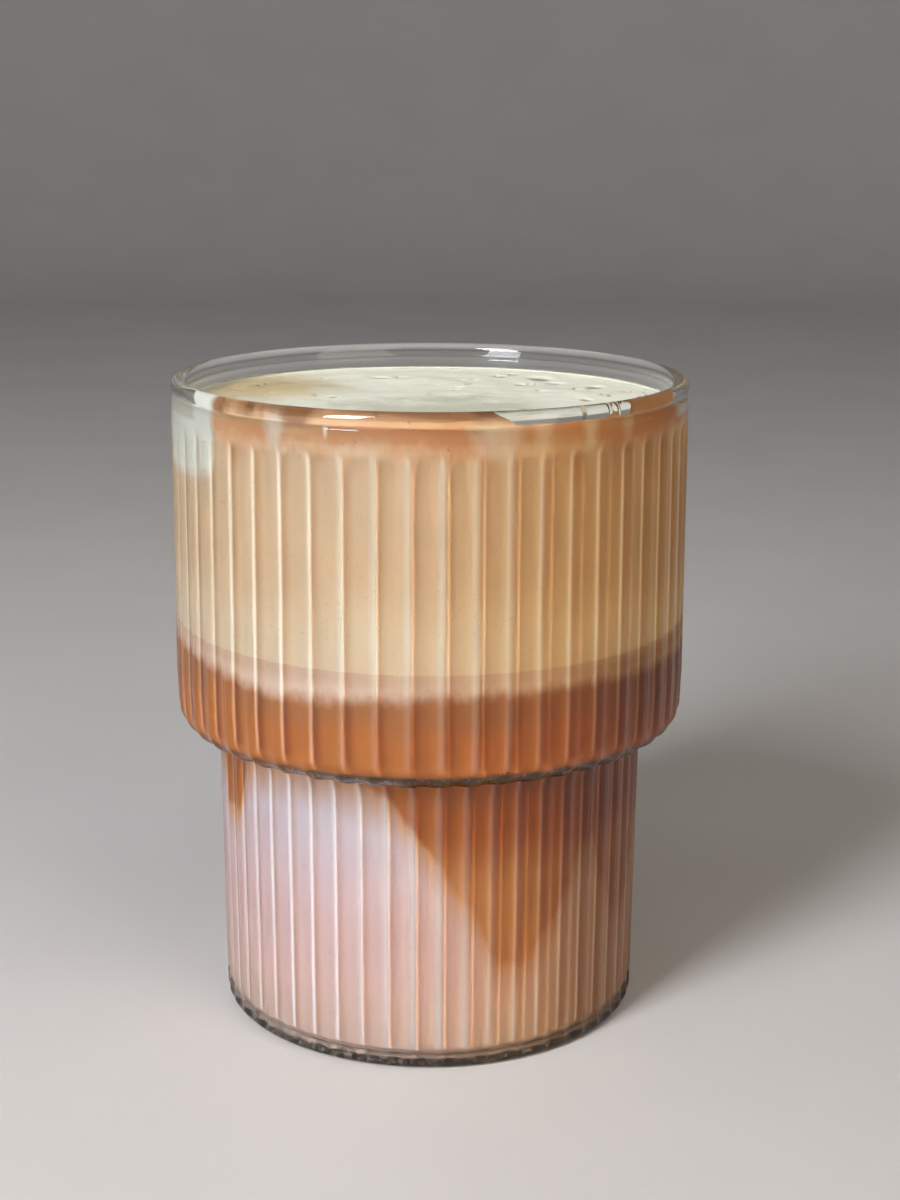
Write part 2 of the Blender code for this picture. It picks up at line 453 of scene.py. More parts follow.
def soft_edge_group() -> Tree:
    """Makes the edge where two drinks meet, ragged and soft.

    Returns:
        The group, which gives the share of the upper drink.
    """
    takes = {"Above": 0.0, "Softness": 1.0 * MM, "Raggedness": 1.0 * MM, "Feature": 3.0 * MM}
    ragged, reach = Pattern(3.0 * MM, 3.0, 0.6, 0.5), 2.0
    group = Group("Soft edge", takes, "Share")
    wave = group.wave(group.place(), ragged, Scale=group.math("DIVIDE", 1.0, group.taken["Feature"]))
    drift = group.times(wave, group.taken["Raggedness"])
    above = group.moved(group.taken["Above"], drift, reach)
    low = group.times(group.taken["Softness"], -1.0)
    return group.give(Share=group.span(above, low, group.taken["Softness"]))


def speckle_group() -> Tree:
    """Makes the fine bubbles and the cloudiness in a drink.

    Returns:
        The group, which gives a factor on the colour and the bubbles' height.
    """
    bubble_edge, bubble_picked, cloudy = (0.32, 0.12), (0.72, 0.9), Pattern(8.0 * MM, 4.0)
    takes = {"Bubble size": 0.9 * MM, "Bubbles": 0.25, "Cloud size": 8.0 * MM, "Clouds": 0.1}
    group = Group("Speckle", takes, "Factor", "Height")
    place = group.place()
    scale = group.math("DIVIDE", 1.0, group.taken["Bubble size"])
    cells = group.add("ShaderNodeTexVoronoi", {"Vector": place, "Scale": scale, "Randomness": 1.0}).outputs
    pick = group.add("ShaderNodeSeparateXYZ", {0: cells["Color"]}).outputs["X"]
    bubble = group.times(group.span(cells["Distance"], *bubble_edge), group.span(pick, *bubble_picked))
    wave = group.wave(place, cloudy, Scale=group.math("DIVIDE", 1.0, group.taken["Cloud size"]))
    light = group.math("MULTIPLY_ADD", group.times(wave, group.taken["Clouds"]), 2.0, 1.0)
    return group.give(Factor=group.minus(light, group.times(bubble, group.taken["Bubbles"])), Height=bubble)


def wall_mark_group() -> Tree:
    """Makes a smear or drip on the wall of the glass: a soft upright patch at an azimuth.

    Returns:
        The group, which gives the share of the smear.
    """
    taper, ragged, wave = 0.75, 0.9, Pattern(1.6 * MM, 3.0, 0.6, 0.6)
    side, ends = (1.25, 0.1), (-0.12, 0.12, 0.25, 1.05)
    takes = {"Azimuth": 0.0, "Half width": 4.0, "Top": 97.0 * MM, "Bottom": 92.0 * MM, "Strength": 0.5}
    group = Group("Wall mark", takes, "Share")
    place = group.place()
    azimuth, height, _ = group.polar(place)
    sway = group.times(group.wave(place, wave), ragged)
    away = group.math("ABSOLUTE", group.minus(azimuth, group.taken["Azimuth"]))
    length = group.minus(group.taken["Top"], group.taken["Bottom"])
    down = group.math("DIVIDE", group.minus(group.taken["Top"], height), length)
    narrowing = group.minus(1.0, group.times(group.math("POWER", down, 2.0), taper))
    width = group.times(group.taken["Half width"], narrowing)
    across = group.math("ADD", group.math("DIVIDE", away, width), sway)
    inside = group.times(group.span(across, *side), group.between(down, ends))
    return group.give(Share=group.math("MULTIPLY", inside, group.taken["Strength"], clamp=True))


def flute_light_group(pitch: float, first_ridge: float) -> Tree:
    """Makes the light that each ridge gathers in a line on the drink, and the shade beside it.

    Args:
        pitch: The width of a flute in degrees.
        first_ridge: The azimuth of one ridge.

    Returns:
        The group, which gives the share of the line and of the shade.
    """
    upper, lower = mm(47.5, 50.0, 92.8, 94.6), mm(2.0, 3.2, 44.6, 45.6)
    set_back, fade, shaded = 0.02, 2.2, (0.0, 0.12, 0.10, 0.55)
    waver, sway, patches = Pattern(5.0 * MM, up=0.25), 0.5, Pattern(7.0 * MM, 3.0, up=0.3)
    group = Group("Flute light", {"Half width": 0.2 * MM}, "Line", "Shade")
    place = group.place()
    azimuth, height, radius = group.polar(place)
    swayed = group.moved(azimuth, group.wave(place, waver), sway)
    steps = group.math("DIVIDE", group.minus(swayed, first_ridge), pitch)
    centred = group.minus(group.math("FRACT", group.math("ADD", steps, 0.5 - set_back)), 0.5)
    away = group.times(group.math("ABSOLUTE", centred), group.times(radius, radians(pitch)))
    line = group.span(away, group.times(group.taken["Half width"], fade), 0.0)
    here = group.math("ADD", group.between(height, upper), group.between(height, lower), clamp=True)
    patchy = group.span(group.noise(place, patches), 0.25, 0.6, 0.62, 1.0)
    shade = group.between(group.math("FRACT", steps), shaded)
    return group.give(Line=group.times(line, here, patchy), Shade=group.times(shade, here))


@dataclass(frozen=True)
class Meeting:
    """How two drinks meet: how soft and how ragged the edge is, and how large its runs are."""

    softness: float
    raggedness: float
    feature: float

    def share(self, graph: Graph, edge: Tree, above: Socket) -> Socket:
        """Returns the share of the upper drink at a height above the level where they meet."""
        return graph.group(edge, Above=above, **group_inputs(self)).outputs[0]


@dataclass(frozen=True)
class Smear:
    """A smear of foam, or of brown crema, on the wall of the glass."""

    azimuth: float
    half_width: float
    top: float
    bottom: float
    strength: float
    brown: bool = False


@dataclass(frozen=True)
class Drink:
    """The drink's colour at the wall, from the milk at the floor to the film at the rim, with painted light
    and shade: lines of light behind the ridges with shade beside them, a warmer, darker right side, and a
    dark band with glints under the ledge.
    """

    wave: Pattern = Pattern(9.0 * MM, 3.0, up=0.7)
    drift: float = 7.0 * MM
    milk_low: Colour = (0.86, 0.67, 0.59)
    milk_middle: Colour = (0.83, 0.65, 0.64)
    milk_high: Colour = (0.87, 0.81, 0.90)
    milk_stained: Colour = (0.72, 0.47, 0.30)
    milk_span: Point = mm(2.0, 42.0)
    milk_places: Place = (0.0, 0.42, 0.95)
    stained: Point = mm(-7.0, 1.0)
    stain_drift: float = 4.0 * MM
    over_milk: Meeting = Meeting(*mm(2.2, 2.0, 5.0))
    fringe_span: Point = (0.0, 0.55)
    over_fringe: Point = (0.35, 1.0)
    fringe: Colour = (0.72, 0.43, 0.25)
    coffee_tongue: Colour = (0.64, 0.33, 0.12)
    coffee_deep: Colour = (0.50, 0.160, 0.018)
    coffee_glow: Colour = (0.58, 0.205, 0.040)
    coffee_top: Colour = (0.45, 0.185, 0.055)
    coffee_span: Point = mm(14.0, 62.0)
    coffee_places: tuple[float, ...] = (0.0, 0.30, 0.50, 0.62, 0.70, 0.80, 0.90, 1.0)
    over_coffee: Meeting = Meeting(*mm(1.5, 1.5, 2.4))
    coffee_rise: float = -0.2 * MM
    blend_low: Colour = (0.88, 0.75, 0.65)
    blend_high: Colour = (0.74, 0.58, 0.46)
    blend_top: float = 63.0 * MM
    blend_fade: Point = mm(-3.4, -0.8)
    over_blend: Meeting = Meeting(*mm(0.14, 0.05, 3.0))
    latte_low: Colour = (0.83, 0.73, 0.56)
    latte_high: Colour = (0.71, 0.56, 0.38)
    latte_span: Point = mm(64.0, 78.0)
    over_latte: Meeting = Meeting(*mm(1.7, 1.6, 2.2))
    crema: Colour = (0.56, 0.29, 0.145)
    film: Colour = (0.53, 0.34, 0.19)
    film_span: Point = mm(96.6, 98.4)
    film_edge: Colour = (0.25, 0.12, 0.05)
    film_edge_span: Point = mm(98.7, 99.7)
    foam_side: Window = (-120.0, -100.0, -54.5, -51.0)
    foam_sway: float = 9.0
    # Painted shade: the right side is made warmer and darker, and darker still low down, as the light falls
    # there.
    amber: Colour = (1.0, 0.82, 0.50)
    amber_side: Window = (-22.0, 40.0, 120.0, 175.0)
    shade: Colour = (0.66, 0.55, 0.42)
    shade_side: Window = (24.0, 50.0, 120.0, 175.0)
    shade_span: Point = mm(1.0, -2.0)
    # Painted reflection: a dark band with painted glints under the ledge, where the glass would reflect the
    # dark beneath it.
    edge_on: Colour = (0.13, 0.082, 0.028)
    edge_glint: Colour = (0.40, 0.30, 0.18)
    sparkle: Pattern = Pattern(0.8 * MM, 2.0, 0.6)
    sparkle_span: Point = (0.5, 0.75)
    edge_window: Window = mm(45.3, 45.8, 47.75, 48.15)
    edge_front: Window = (-58.0, -18.0, 40.0, 75.0)
    edge_least: float = 0.4
    # Painted light: the lines of light behind the ridges, and painted shade beside them.
    gathered: Colour = (0.97, 0.93, 0.82)
    gathered_low: Colour = (0.97, 0.94, 0.97)
    # Painted shade: the lines of light are made warmer on the right side.
    gathered_amber: Colour = (1.0, 0.92, 0.76)
    gathered_span: Point = mm(40.0, 60.0)
    spread: Colour = (0.80, 0.68, 0.57)
    spread_dark: Colour = (0.68, 0.56, 0.44)
    line_half_width: float = 0.29 * MM
    line_strength: float = 2.1
    darkening: float = -1.8
    line_least: float = 0.1
    white: Colour = (0.88, 0.93, 0.88)
    run: Colour = (0.56, 0.31, 0.14)
    marks: tuple[Smear, ...] = (
        Smear(-46.0, 6.5, *mm(96.0, 89.0), 0.6, True),
        Smear(-24.0, 4.5, *mm(95.5, 91.0), 0.4, True),
        Smear(31.0, 5.0, *mm(96.0, 86.0), 0.4, True),
        Smear(44.0, 4.0, *mm(96.0, 82.0), 0.45, True),
        Smear(59.0, 7.0, *mm(97.0, 84.0), 0.5, True),
        Smear(-34.5, 3.0, *mm(98.4, 92.0), 0.55),
        Smear(-22.0, 0.8, *mm(97.6, 95.4), 0.9),
        Smear(14.0, 6.5, *mm(98.2, 91.5), 0.5),
        Smear(24.0, 3.0, *mm(98.0, 93.0), 0.35),
        Smear(35.5, 2.4, *mm(98.0, 88.5), 0.45),
        Smear(46.5, 2.4, *mm(97.8, 92.5), 0.3),
    )

    def layers(self, group: Group, edge: Tree, drifted: Socket, wave: Socket, over: Socket) -> Socket:
        """Lays the layers' colours over one another, up to the latte.

        Args:
            group: The group that is being made.
            edge: The group for the edge between two drinks.
            drifted: The height, moved by the wave.
            wave: A wave all over the drink.
            over: The height above the blend's top.

        Returns:
            The colour.
        """
        milks = (self.milk_low, self.milk_middle, self.milk_high)
        coffees = (self.coffee_tongue, self.coffee_deep, self.coffee_glow, self.coffee_top)
        coffee_stops = zip(self.coffee_places, (colour for colour in coffees for _ in range(2)))
        depth = group.moved(group.taken["Above milk"], wave, self.stain_drift)
        milk = group.ramp(drifted, self.milk_span, tuple(zip(self.milk_places, milks)))
        milk = group.mix(group.span(depth, *self.stained), milk, self.milk_stained)
        meet = self.over_milk.share(group, edge, group.taken["Above milk"])
        body = group.mix(group.span(meet, *self.fringe_span), milk, self.fringe)
        coffee = group.ramp(drifted, self.coffee_span, tuple(coffee_stops))
        body = group.mix(group.span(meet, *self.over_fringe), body, coffee)
        blend = group.mix(group.span(over, *self.blend_fade), self.blend_low, self.blend_high)
        sunk = group.math("ADD", group.taken["Above coffee"], self.coffee_rise)
        body = group.mix(self.over_coffee.share(group, edge, sunk), body, blend)
        latte = group.mix(group.span(drifted, *self.latte_span), self.latte_low, self.latte_high)
        return group.mix(self.over_blend.share(group, edge, over), body, latte)

    def lit(self, group: Group, body: Socket, flute_light: Tree, height: Socket, right: Socket) -> Socket:
        """Paints the lines of light behind the ridges, strongest on pale drink, and painted shade beside
        them.

        Args:
            group: The group that is being made.
            body: The colour.
            flute_light: The group for the lines of light.
            height: The height on the drink.
            right: The share of the side with the painted warm shade.

        Returns:
            The colour with them.
        """
        lights = group.group(flute_light, Half_width=self.line_half_width).outputs
        body = group.mix(lights["Shade"], body, self.spread, "MULTIPLY")
        green = group.add("ShaderNodeSeparateColor", {0: body}).outputs[1]
        darkness = group.math("MULTIPLY_ADD", green, self.darkening, 1.0, clamp=True)
        body = group.mix(group.times(darkness, lights["Shade"]), body, self.spread_dark, "MULTIPLY")
        paleness = group.math("MULTIPLY_ADD", group.times(green, green), self.line_strength, self.line_least)
        share = group.math("MULTIPLY", paleness, lights["Line"], clamp=True)
        tone = group.mix(group.span(height, *self.gathered_span), self.gathered_low, self.gathered)
        return group.mix(share, body, group.mix(right, tone, self.gathered_amber, "MULTIPLY"))

    def build(self, edge: Tree, wall_mark: Tree, flute_light: Tree) -> Tree:
        """Makes the group that gives the drink's colour.

        Args:
            edge: The group for the edge between two drinks.
            wall_mark: The group for a smear.
            flute_light: The group for the lines of light.

        Returns:
            The group.
        """
        group = Group("Drink", {"Above milk": 0.0, "Above coffee": 0.0, "Above latte": 0.0}, "Color")
        place = group.place()
        azimuth, height, _ = group.polar(place)
        wave = group.wave(place, self.wave)
        drifted = group.moved(height, wave, self.drift)
        over = group.minus(height, self.blend_top)
        body = self.layers(group, edge, drifted, wave, over)

        meet = self.over_latte.share(group, edge, group.taken["Above latte"])
        body = group.mix(meet, body, self.crema)
        body = group.mix(group.span(drifted, *self.film_span), body, self.film)
        body = group.mix(group.span(drifted, *self.film_edge_span), body, self.film_edge)
        foamy = group.between(group.moved(azimuth, wave, self.foam_sway), self.foam_side)
        body = group.mix(group.times(foamy, meet), body, self.white)
        for mark in self.marks:
            share = group.group(wall_mark, **group_inputs(mark)).outputs[0]
            body = group.mix(share, body, self.run if mark.brown else self.white)

        # Painted shade: the right side is warmer and darker, and darker still low down, as the light falls
        # there.
        right = group.between(azimuth, self.amber_side)
        body = group.mix(right, body, self.amber, "MULTIPLY")
        low = group.times(group.between(azimuth, self.shade_side), group.span(over, *self.shade_span))
        body = self.lit(group, group.mix(low, body, self.shade, "MULTIPLY"), flute_light, height, right)

        # Painted reflection: a dark band with painted glints under the ledge, where the glass would reflect
        # the dark beneath it.
        sparkle = group.span(group.noise(place, self.sparkle), *self.sparkle_span)
        front = group.between(azimuth, self.edge_front)
        front = group.math("MULTIPLY_ADD", front, 1 - self.edge_least, self.edge_least)
        ledge = group.times(group.between(height, self.edge_window), front)
        glint = group.mix(sparkle, self.edge_on, self.edge_glint)
        return group.give(Color=group.mix(ledge, body, glint))


# ---------------------------------------- finishes


@dataclass(frozen=True)
class Finish:
    """What is common to every finish: a name and a Principled shader to build on."""

    name: str

    def start(self) -> tuple[bpy.types.Material, Graph, bpy.types.Node]:
        """Makes an empty material.

        Returns:
            The material, its graph and its shader.
        """
        material = bpy.data.materials.new(self.name)
        material.use_nodes = True
        return material, Graph(material.node_tree), material.node_tree.nodes["Principled BSDF"]


@dataclass(frozen=True)
class GlassFinish(Finish):
    """Clear moulded glass, slightly uneven, with faint smudges, and painted shade at the foot and under the
    ledge, where the glass shows the shadow and the dark beneath it.
    """

    tint: Colour = (0.985, 0.995, 0.99)
    smudge: Colour = (0.97, 0.985, 0.98)
    # Painted shade: a near-black tint at the foot and under the ledge.
    thick: Colour = (0.03, 0.032, 0.022)
    foot: Point = mm(2.2, 1.5)
    ledge: Point = mm(46.75, 46.35)
    ledge_inner: Point = mm(35.2, 35.7)
    ripple: Pattern = Pattern(9.0 * MM, 1.5, 0.4, 0.35)
    ripple_height: float = 0.35 * MM
    ripple_strength: float = 0.06
    smudges: Pattern = Pattern(14.0 * MM, 4.0, 0.6)
    smudged: Point = (0.5, 0.75)
    patches: Pattern = Pattern(1.2 * MM, 3.0, 0.7)
    patched: Window = (0.3, 0.55, 0.55, 1.0)
    ior: float = 1.5

    def build(self) -> bpy.types.Material:
        """Makes the material.

        Returns:
            The material.
        """
        material, graph, shader = self.start()
        place = graph.place()
        _, height, radius = graph.polar(place)
        ripple = graph.noise(place, self.ripple)
        bump = {"Height": ripple, "Distance": self.ripple_height, "Strength": self.ripple_strength}
        smudge = graph.span(graph.noise(place, self.smudges), *self.smudged)
        ledge = graph.times(graph.span(height, *self.ledge), graph.span(radius, *self.ledge_inner))
        patchy = graph.span(graph.noise(place, self.patches), *self.patched)
        # Painted shade at the foot and under the ledge, broken into patches.
        thick = graph.times(graph.math("MAXIMUM", graph.span(height, *self.foot), ledge), patchy)
        graph.fill(
            shader,
            Base_Color=graph.mix(thick, graph.mix(smudge, self.tint, self.smudge), self.thick),
            Normal=graph.add("ShaderNodeBump", bump).outputs[0],
            Roughness=0.0,
            Transmission_Weight=1.0,
            IOR=self.ior,
        )
        return material


@dataclass(frozen=True)
class BubbleFinish(Finish):
    """The wet skin of a bubble, clear with a faint swirl of the drink's colour."""

    skin: Colour = (0.96, 0.95, 0.88)
    swirl: Colour = (0.90, 0.80, 0.64)
    flow: Pattern = Pattern(0.7 * MM, 3.0, 0.6)
    flow_span: Point = (0.4, 0.7)
    distortion: float = 1.5
    roughness: float = 0.04
    ior: float = 1.33

    def build(self) -> bpy.types.Material:
        """Makes the material.

        Returns:
            The material.
        """
        material, graph, shader = self.start()
        flow = graph.noise(graph.place(), self.flow, Distortion=self.distortion)
        colour = graph.mix(graph.span(flow, *self.flow_span), self.skin, self.swirl)
        graph.fill(shader, Base_Color=colour, Roughness=self.roughness)
        graph.fill(shader, Transmission_Weight=1.0, IOR=self.ior)
        return material


@dataclass(frozen=True)
class DrinkFinish(Finish):
    """Milky drink against the glass: the drink's own colour, cloudy, with fine bubbles."""

    bubble: float = 0.9 * MM
    bubbles: float = 0.2
    cloud: float = 8.0 * MM
    clouds: float = 0.08
    roughness: float = 0.6

    def speckled(self, graph: Graph, speckle: Tree, colour: Socket) -> tuple[Socket, Socket]:
        """Adds this finish's bubbles and clouds to a colour.

        Args:
            graph: The material's graph.
            speckle: The group that gives bubbles and clouds.
            colour: The colour without them.

        Returns:
            The colour with them, and the bubbles' height.
        """
        sizes = {"Bubble size": self.bubble, "Bubbles": self.bubbles}
        sizes |= {"Cloud size": self.cloud, "Clouds": self.clouds}
        fine = graph.group(speckle, **sizes).outputs
        grey = graph.add("ShaderNodeCombineXYZ", {i: fine["Factor"] for i in range(3)}).outputs[0]
        return graph.mix(1.0, colour, grey, "MULTIPLY"), fine["Height"]

    def build(self, drink: Tree, speckle: Tree) -> bpy.types.Material:
        """Makes the material.

        Args:
            drink: The group that gives the drink's colour.
            speckle: The group that gives bubbles and clouds.

        Returns:
            The material.
        """
        material, graph, shader = self.start()
        colour, _ = self.speckled(graph, speckle, graph.drink_colour(drink))
        graph.fill(shader, Base_Color=colour, Roughness=self.roughness, Specular_IOR_Level=0.0)
        return material


@dataclass(frozen=True)
class StainAndShade:
    """A kind of patch on the foam, a real stain or the painted shade in a pit: its colour, raggedness, outer
    and inner reach, and strength.

    Its reaches are times the size of a spot, and in metres where that is given as 1.
    """

    colour: Colour
    ragged: float
    outer: float
    inner: float
    strength: float


@dataclass(frozen=True)
class FoamFinish(DrinkFinish):
    """Milk foam: pale on top with tan patches, and pits with painted shade in them, stained by coffee where
    it meets the wall.
    """

    bubbles: float = 0.1
    cloud: float = 5.0 * MM
    clouds: float = 0.04
    pale: Colour = (0.91, 0.91, 0.77)
    wet: StainAndShade = StainAndShade((0.60, 0.61, 0.48), *mm(34.0, 22.0, 11.0), 0.9)
    tan: StainAndShade = StainAndShade((0.64, 0.50, 0.26), *mm(14.0, 21.0, 5.0), 0.9)
    streak: StainAndShade = StainAndShade((0.50, 0.38, 0.18), 1.6 * MM, 1.0, 0.4, 0.5)
    # Painted shade inside the pits.
    hollow: StainAndShade = StainAndShade((0.27, 0.28, 0.19), 1.0 * MM, 1.25, 0.5, 0.95)
    white: Colour = (0.64, 0.65, 0.54)
    stained_side: Window = (-64.0, -60.0, 66.0, 72.0)
    white_above: Point = mm(95.2, 95.8)
    broad: Pattern = Pattern(6.0 * MM, 5.0, 0.65)
    fine: Pattern = Pattern(1.6 * MM, 3.0, 0.6)
    wave: Pattern = Pattern(3.0 * MM, 3.0, 0.6)
    side_sway: float = 7.0
    ring_sway: float = 0.8 * MM
    ring_fade: float = 0.5 * MM
    grain: Pattern = Pattern(0.35 * MM, 3.0, 0.7)
    grain_height: float = 0.4
    bump_height: float = 0.2 * MM
    bump_strength: float = 0.3
    sheen: Window = (-0.1, 0.12, 0.6, 0.38)
    specular: float = 0.25

    def top_colour(self, graph: Graph, place: Socket, foam: "Foam") -> Socket:
        """Lays the patches, the streaks and the pits' painted shade over the foam's pale top.

        Args:
            graph: The material's graph.
            place: The point on the foam.
            foam: The foam, for its patches and pits.

        Returns:
            The top's colour.
        """
        broad, fine = graph.wave(place, self.broad), graph.wave(place, self.fine)
        colour = self.pale
        for patch, ragged, spots in (
            (self.wet, broad, ((foam.wet_patch, 1.0),)),
            (self.tan, broad, ((foam.tan_patch, 1.0),)),
            (self.streak, fine, foam.streaks),
            (self.hollow, fine, foam.pits),
        ):
            for spot, size in spots:
                away = graph.add("ShaderNodeVectorMath", {0: place, 1: spot}, operation="DISTANCE")
                near = graph.moved(away.outputs["Value"], ragged, patch.ragged)
                share = graph.span(near, patch.outer * size, patch.inner * size, 0.0, patch.strength)
                colour = graph.mix(share, colour, patch.colour)
        return colour

    def build(self, drink: Tree, speckle: Tree, foam: "Foam") -> bpy.types.Material:
        """Makes the material.

        Args:
            drink: The group that gives the drink's colour.
            speckle: The group that gives bubbles and clouds.
            foam: The foam, for its patches and pits.

        Returns:
            The material.
        """
        material, graph, shader = self.start()
        place = graph.place()
        azimuth, height, radius = graph.polar(place)
        wave = graph.wave(place, self.wave)
        stained = graph.between(graph.moved(azimuth, wave, self.side_sway), self.stained_side)
        white = graph.times(graph.minus(1.0, stained), graph.span(height, *self.white_above))
        side = graph.mix(white, graph.drink_colour(drink), self.white)
        drawn = graph.moved(radius, wave, self.ring_sway)
        by_wall = graph.span(drawn, foam.ring_radius - self.ring_fade, foam.ring_radius)
        colour = graph.mix(by_wall, self.top_colour(graph, place, foam), side)
        colour, bubble = self.speckled(graph, speckle, colour)
        rise = graph.moved(graph.times(bubble, -1.0), graph.noise(place, self.grain), self.grain_height)
        bump = {"Height": rise, "Distance": self.bump_height, "Strength": self.bump_strength}
        graph.fill(
            shader,
            Base_Color=colour,
            Normal=graph.add("ShaderNodeBump", bump).outputs[0],
            Roughness=graph.span(wave, *self.sheen),
            Specular_IOR_Level=self.specular,
        )
        return material


# ---------------------------------------- glass


@dataclass(frozen=True)
class Flutes:
    """One row of flutes: how deep they are, how rounded their ridges, and where they end."""

    depth: float
    rounding: float
    bottom: float
    top: float
    bottom_end: float
    top_end: float

    def hollow(self, across: float) -> float:
        """Shapes one flute across its width.

        Args:
            across: Place across the flute, from 0 to 1.

        Returns:
            How deep it is, 0 on its ridges and 1 in the middle.
        """
        out = abs(2 * across - 1)
        start = 1 - self.rounding
        if out <= start:
            depth = 1 - out * out
        else:
            past = out - start
            depth = 1 - start * start - 2 * start * past * (1 - past / (2 * self.rounding))
        low = 1 - start * start - start * self.rounding
        return max((depth - low) / (1 - low), 0.0)

    def pressed(self, across: float, height: float) -> float:
        """Shapes one flute across and along, with arched ends.

        Args:
            across: Place across the flute, from 0 to 1.
            height: Height on the glass.

        Returns:
            Its depth.
        """
        past_top = max(height - (self.top - self.top_end), 0.0) / self.top_end
        past_bottom = max(self.bottom + self.bottom_end - height, 0.0) / self.bottom_end
        return self.depth * max(self.hollow(across) - past_top**2 - past_bottom**2, 0.0)


@dataclass(frozen=True)
class Tumbler:
    """The glass: a wide and a narrow fluted body joined by a round shoulder, with a beaded rim."""

    height: float
    upper_radius: float
    neck_radius: float = 33.4 * MM
    foot_radius: float = 33.0 * MM
    shoulder_z: float = 49.65 * MM
    shoulder_round: float = 3.8 * MM
    crotch_round: float = 1.0 * MM
    belly: float = 0.15 * MM
    belly_rise: float = 5.5 * MM
    belly_z: float = 4.0 * MM
    wall: float = 2.2 * MM
    floor: float = 1.9 * MM
    floor_round: float = 1.2 * MM
    foot_round: float = 1.2 * MM
    rest_inner: float = 28.5 * MM
    punt: float = 0.6 * MM
    bead_radius: float = 1.2 * MM
    bead_set_back: float = 0.15 * MM
    rim_neck_z: float = 97.1 * MM
    rim_neck_depth: float = 0.12 * MM
    smooth_band_z: float = 95.4 * MM
    flutes: int = 50
    first_ridge: float = 2.3
    columns: tuple[float, ...] = (0.03, 0.04, 0.06, 0.09, 0.14, 0.14, 0.14, 0.14, 0.09, 0.06, 0.04, 0.03)
    upper: Flutes = Flutes(0.52 * MM, 0.24, *mm(45.8, 94.7, 0.7, 2.4))
    lower: Flutes = Flutes(0.50 * MM, 0.28, *mm(0.5, 44.9, 0.9, 2.4))

    @classmethod
    def from_frame(cls) -> "Tumbler":
        """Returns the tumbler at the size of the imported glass."""
        low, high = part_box("glass_tumbler")
        return cls(height=high.z, upper_radius=round((high.y - low.y) / 2, 5))

    @property
    def pitch(self) -> float:
        """The width of a flute in degrees."""
        return 360 / self.flutes

    @property
    def ledge_z(self) -> float:
        """Height of the flat underside of the wide body."""
        return self.shoulder_z - self.shoulder_round

    @property
    def shoulder(self) -> Point:
        """Centre of the shoulder's round."""
        return self.upper_radius - self.shoulder_round, self.shoulder_z

    @property
    def crotch(self) -> Point:
        """Centre of the hollow round under the ledge."""
        return self.neck_radius + self.crotch_round, self.ledge_z - self.crotch_round

    @property
    def bead(self) -> Point:
        """Centre of the rim's bead."""
        return self.upper_radius - self.bead_set_back - self.bead_radius, self.height - self.bead_radius

    def bulge(self, z: float) -> float:
        """Shapes the upper wall's slight belly.

        Args:
            z: Height on the glass.

        Returns:
            How far the wall stands outside its mean radius.
        """
        start = self.shoulder_z + self.belly_z
        rise = eased(z, self.shoulder_z, self.shoulder_z + self.belly_rise)
        fall = max(z - start, 0.0) / (self.smooth_band_z - start)
        return self.belly * (rise - 2 * min(fall, 1.0))

    def radius_at(self, z: float, inset: float) -> float:
        """Follows the glass's profile.

        Args:
            z: Height on the glass.
            inset: How far the surface lies inside the outer one.

        Returns:
            The radius of the surface.
        """
        if z >= self.shoulder_z:
            return self.upper_radius + self.bulge(z) - inset
        if z >= self.ledge_z + inset:
            centre, reach = self.shoulder, self.shoulder_round - inset
            return centre[0] + sqrt(max(reach**2 - (centre[1] - z) ** 2, 0.0))
        centre, reach = self.crotch, self.crotch_round + inset
        if z >= centre[1]:
            return centre[0] - sqrt(max(reach**2 - (z - centre[1]) ** 2, 0.0))
        return self.foot_radius + (self.neck_radius - self.foot_radius) * z / centre[1] - inset

    def straight(self, heights: tuple[float, ...], inset: float) -> list[Point]:
        """Returns profile points of the wall at heights in millimetres."""
        return [(self.radius_at(z * MM, inset), z * MM) for z in heights]

    def outline(self) -> list[Point]:
        """Joins the outline from the middle of the underside to the middle of the floor.

        Returns:
            Its points, as (radius, height).
        """
        step = self.rest_inner - 2.4 * MM
        under = [(0.0, self.punt), (9 * MM, self.punt), (20 * MM, self.punt)]
        under += [(step + i * 0.6 * MM, self.punt * (1 - eased(i, 0, 4))) for i in range(5)]
        foot = arc((self.foot_radius - self.foot_round, self.foot_round), self.foot_round, -90, 0, 7)
        narrow = self.straight((1.7, 2.3, 3, 4, 7, 13, 20, 27, 34, 39, 41, 41.8, 42.5, 43.1, 43.7, 44.3), 0.0)
        crotch = arc(self.crotch, self.crotch_round, 180, 90, 6)
        shoulder = arc(self.shoulder, self.shoulder_round, -90, 0, 20)
        upper = self.straight((50.5, 52, 54.5, 58, 64, 72, 80, 87, 91, 92.6, 93, 93.4, 93.8, 94.2), 0.0)
        upper += self.straight((94.5, 94.8, 95.1, 95.4), 0.0)
        return under + foot + narrow + crotch + shoulder + upper + self.rim() + self.inside()

    def rim(self) -> list[Point]:
        """Draws the smooth neck under the rim and the bead, from outside to inside.

        Returns:
            Their points.
        """
        edge, rise = self.radius_at(self.smooth_band_z, 0.0), self.rim_neck_z - self.smooth_band_z
        neck = [
            (edge - self.rim_neck_depth * eased(i, 0, 5), self.smooth_band_z + rise * i / 5)
            for i in range(1, 6)
        ]
        neck.append((neck[-1][0] - 0.02 * MM, self.rim_neck_z + 0.35 * MM))
        return neck + arc(self.bead, self.bead_radius, -42, 226, 24)

